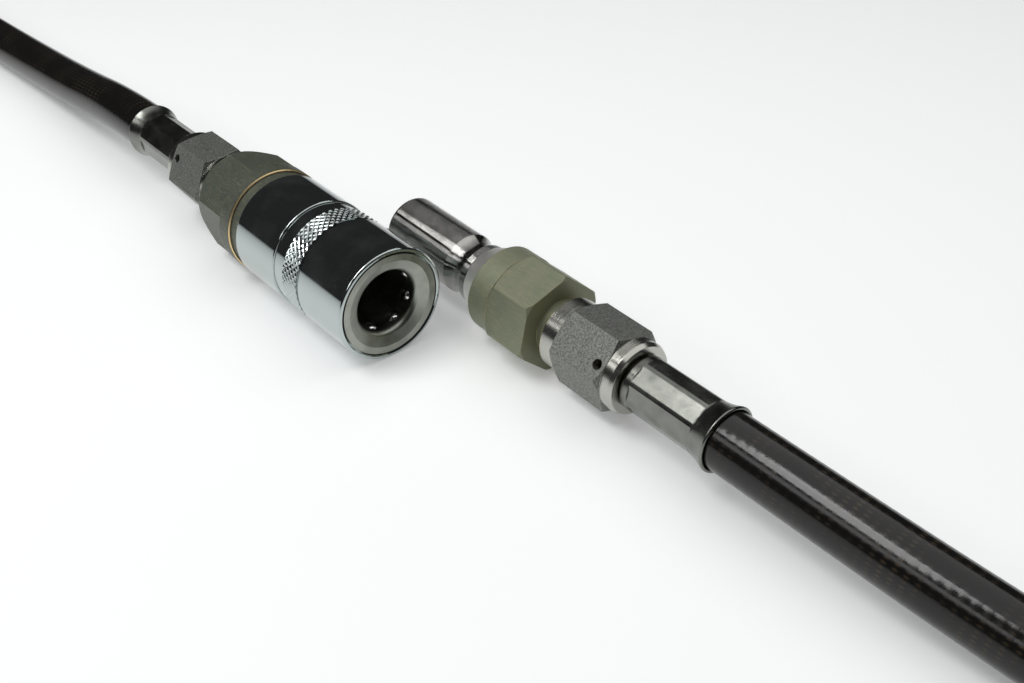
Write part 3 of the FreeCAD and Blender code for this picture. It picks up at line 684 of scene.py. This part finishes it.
class COUPLING_OT_hose_ends(bpy.types.Operator):
    """Finishes the swivel nuts, stems and crimped ferrules at both ends of each hose"""

    bl_idname = "coupling.hose_ends"
    bl_label = "Hose Ends"

    def execute(self, context):
        looks = context.scene.coupling_looks
        for prefix, place in HOSE_ENDS.items():
            start = NUT_STARTS[prefix.split("_")[0]]
            dress([f"{prefix}swivel_nut"], nut_plate(f"{prefix}nut_plate", looks, place, start))
            crimped = turned_steel(f"{prefix}ferrule_steel", looks.ferrule, place, rough=0.2, depth=0.012)
            dress([f"{prefix}ferrule"], crimped)
            plated = turned_steel(f"{prefix}stem_plate", looks.gold, place, rough=0.3, depth=0.006)
            dress([f"{prefix}hose_stem"], plated)
        return {"FINISHED"}


class COUPLING_OT_inner_pieces(bpy.types.Operator):
    """Finishes the valves and seals inside both halves"""

    bl_idname = "coupling.inner_pieces"
    bl_label = "Inner Pieces"

    def execute(self, context):
        looks = context.scene.coupling_looks
        for half, place in (("socket", SOCKET), ("plug", PLUG)):
            valve = turned_steel(f"{half}_valve_steel", looks.steel, place, rough=0.3, depth=0.006)
            dress([f"{half}_poppet", f"{half}_poppet_guide"], valve)
        dress(["socket_seal", "socket_joint_seal"], plain_finish("seal_rubber", looks.rubber, rough=0.5))
        dress(["socket_backup_ring"], plain_finish("backup_plastic", looks.backup, rough=0.45))
        return {"FINISHED"}


class COUPLING_OT_springs(bpy.types.Operator):
    """Winds the springs, which shorten as the sleeve and the valves move"""

    bl_idname = "coupling.springs"
    bl_label = "Springs"
    # Winds the springs between their seats

    def execute(self, context):
        looks = context.scene.coupling_looks
        dark = [channel * 0.7 for channel in looks.steel]
        wire = plain_finish("spring_wire", dark, rough=0.3, metallic=1.0)
        for node, spring in SPRINGS.items():
            coil = self.coil(f"{node}_coil", spring)
            coil.data.materials.append(wire)
            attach(coil, "coupling")
            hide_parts(node)
            anchor = spring.place.along(spring.fixed_seat)
            room = spring.place.along(spring.moving_seat) - anchor
            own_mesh(coil)
        return {"FINISHED"}

    @staticmethod
    def coil(name, spring):
        """Round wire wound between the spring's seats."""
        margin = spring.wire_radius + SPRING_END_GAP
        start = min(spring.fixed_seat, spring.moving_seat) + margin
        length = abs(spring.moving_seat - spring.fixed_seat) - 2 * margin
        pitch = length / spring.turns
        angles = [math.tau * side / SPRING_SIDES for side in range(SPRING_SIDES)]
        rows = []
        for step in range(spring.turns * SPRING_STEPS + 1):
            turn = math.tau * step / SPRING_STEPS
            out = Vector((0.0, math.sin(turn), -math.cos(turn)))
            ahead = Vector((pitch / math.tau / spring.mean_radius, math.cos(turn), math.sin(turn)))
            up = ahead.normalized().cross(out)
            middle = Vector((start + pitch * step / SPRING_STEPS, 0.0, 0.0)) + out * spring.mean_radius
            ring = [middle + (out * math.cos(angle) + up * math.sin(angle)) * spring.wire_radius
                    for angle in angles]
            rows.append([spring.place.at(*point) for point in ring])
        return grid_mesh(name, rows, capped=True, ended=True)


class COUPLING_OT_hoses(bpy.types.Operator):
    """Lays the two braided hoses along their routes"""

    bl_idname = "coupling.hoses"
    bl_label = "Hoses"

    def execute(self, context):
        looks = context.scene.coupling_looks
        cover = hose_cover("hose_cover", looks)
        for half, route in ROUTES.items():
            near = HOSE_ENDS[f"{half}_"]
            lip = near.along(NUT_STARTS[half] + HOSE_EXIT)
            points = [lip] + [Vector(point) * MM for point in route]
            line = self.smooth_line(points)
            hose, length = self.tube(f"{half}_hose_cover", line, looks)
            hose.data.materials.append(cover)
            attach(hose, "coupling")
            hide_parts(f"{half}_hose")
        return {"FINISHED"}

    @staticmethod
    def smooth_line(points):
        """Points of the smooth spline that a route's points control."""
        curve = bpy.data.curves.new("hose_route", "CURVE")
        curve.dimensions = "3D"
        spline = curve.splines.new("NURBS")
        spline.points.add(len(points) - 1)
        for control, point in zip(spline.points, points):
            control.co = (*point, 1.0)
        spline.order_u = 3
        spline.use_endpoint_u = True
        spline.resolution_u = ROUTE_RESOLUTION
        carrier = bpy.data.objects.new("hose_route", curve)
        bpy.context.scene.collection.objects.link(carrier)
        mesh = bpy.data.meshes.new_from_object(carrier)
        line = [vertex.co.copy() for vertex in mesh.vertices]
        bpy.data.objects.remove(carrier)
        bpy.data.meshes.remove(mesh)
        bpy.data.curves.remove(curve)
        return line

    @staticmethod
    def tube(name, line, looks):
        """Tube along a line; its points keep their distance along it and turn round it for the braid."""
        around = looks.braid_count * BRAID_SAMPLES
        turns = [step * looks.braid_count / around for step in range(around)]
        rows, lengths = [], []
        length = 0.0
        for index, point in enumerate(line):
            ahead = line[min(index + 1, len(line) - 1)] - line[max(index - 1, 0)]
            ahead.normalize()
            side = Vector((0.0, 0.0, 1.0)).cross(ahead).normalized()
            up = ahead.cross(side)
            if index:
                length += (point - line[index - 1]).length
            cells = length / MM / looks.braid_pitch
            row = []
            for step, turn in enumerate(turns):
                weave = math.sin((cells + turn) * math.tau) * math.sin((cells - turn) * math.tau)
                radius = (HOSE_DIAMETER / 2 - looks.braid_relief * (1 - weave) / 2) * MM
                angle = math.tau * step / around
                row.append(point + (side * math.cos(angle) + up * math.sin(angle)) * radius)
            rows.append(row)
            lengths += [length / MM] * around
        tube = grid_mesh(name, rows)
        for key, values in (("along", lengths), ("around", turns * len(line))):
            tube.data.attributes.new(key, "FLOAT", "POINT").data.foreach_set("value", values)
        return tube, length


class COUPLING_OT_stage(bpy.types.Operator):
    """Sets the white floor, the lamps, the dark room and the camera"""

    bl_idname = "coupling.stage"
    bl_label = "Studio"

    def execute(self, context):
        stage = context.scene.coupling_stage
        floor_z = CAD_BOX[0].z
        angles = [-math.tau * turn / FLOOR_SIDES for turn in range(FLOOR_SIDES)]
        rows = [[(reach * math.cos(angle), reach * math.sin(angle), floor_z) for angle in angles]
                for reach in (stage.reach / 2, stage.reach)]
        floor = grid_mesh("studio_floor", rows, capped=True)
        floor.data.materials.append(studio_floor("floor_white", stage.floor, stage.lift, stage.gloss))
        self.panel("softbox", direction(*SOFTBOX_WAY) * stage.box_distance,
                   (stage.box_width, stage.box_height), stage.box_power)
        self.panel("key_panel", direction(*KEY_WAY) * stage.key_distance,
                   (stage.key_width, stage.key_height), stage.key_power)
        self.panel("fill_panel", direction(*FILL_WAY) * stage.fill_distance,
                   (stage.fill_width, stage.fill_height), stage.fill_power)
        world = bpy.data.worlds.new("dark_room")
        world.use_nodes = True
        world.node_tree.nodes["Background"].inputs["Color"].default_value = colour([stage.surround] * 3)
        context.scene.world = world
        self.camera(context)
        context.scene.view_settings.view_transform = "Standard"
        return {"FINISHED"}

    @staticmethod
    def panel(name, place, size, power):
        """Lamp of the given width and height at a place, facing the mouth."""
        lamp = bpy.data.lights.new(name, "AREA")
        lamp.shape = "RECTANGLE"
        lamp.size, lamp.size_y = size
        lamp.energy = power
        holder = bpy.data.objects.new(name, lamp)
        holder.location = place
        holder.rotation_mode = "QUATERNION"
        holder.rotation_quaternion = (-place).to_track_quat("-Z", "Y")
        bpy.context.scene.collection.objects.link(holder)

    @staticmethod
    def camera(context):
        """Camera at the photograph's place."""
        ahead = -direction(*CAMERA_WAY)
        lens = bpy.data.cameras.new("photo_camera")
        lens.sensor_width = SENSOR_WIDTH
        lens.lens = CAMERA_FOCAL * SENSOR_WIDTH / PICTURE_WIDTH
        lens.clip_start = CAMERA_CLIP * MM
        camera = bpy.data.objects.new("photo_camera", lens)
        camera.location = Vector(CAMERA_PLACE) * MM
        camera.rotation_mode = "QUATERNION"
        camera.rotation_quaternion = ahead.to_track_quat("-Z", "Y")
        context.scene.collection.objects.link(camera)
        context.scene.camera = camera


class COUPLING_PT_panel(bpy.types.Panel):
    """Lists the coupling's operators and settings"""

    bl_idname = "COUPLING_PT_panel"
    bl_label = "Quick Coupling"
    bl_space_type = "VIEW_3D"
    bl_region_type = "UI"
    bl_category = "Coupling"

    def draw(self, context):
        for operator in OPERATORS:
            self.layout.operator(operator.bl_idname)
        for group in (context.scene.coupling_looks, context.scene.coupling_stage):
            for key in group.__annotations__:
                self.layout.prop(group, key)


OPERATORS = (
    COUPLING_OT_sleeve, COUPLING_OT_socket, COUPLING_OT_plug, COUPLING_OT_hose_ends,
    COUPLING_OT_inner_pieces, COUPLING_OT_springs, COUPLING_OT_hoses, COUPLING_OT_stage,
)
CLASSES = (CouplingLooks, CouplingStage, *OPERATORS, COUPLING_PT_panel)


def register():
    for each in CLASSES:
        bpy.utils.register_class(each)
    bpy.types.Scene.coupling_looks = PointerProperty(type=CouplingLooks)
    bpy.types.Scene.coupling_stage = PointerProperty(type=CouplingStage)


def unregister():
    del bpy.types.Scene.coupling_stage
    del bpy.types.Scene.coupling_looks
    for each in reversed(CLASSES):
        bpy.utils.unregister_class(each)


def main():
    """Registers the add-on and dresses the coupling."""
    register()
    for operator in OPERATORS:
        group, name = operator.bl_idname.split(".")
        getattr(getattr(bpy.ops, group), name)()


if __name__ == "__main__":
    main()
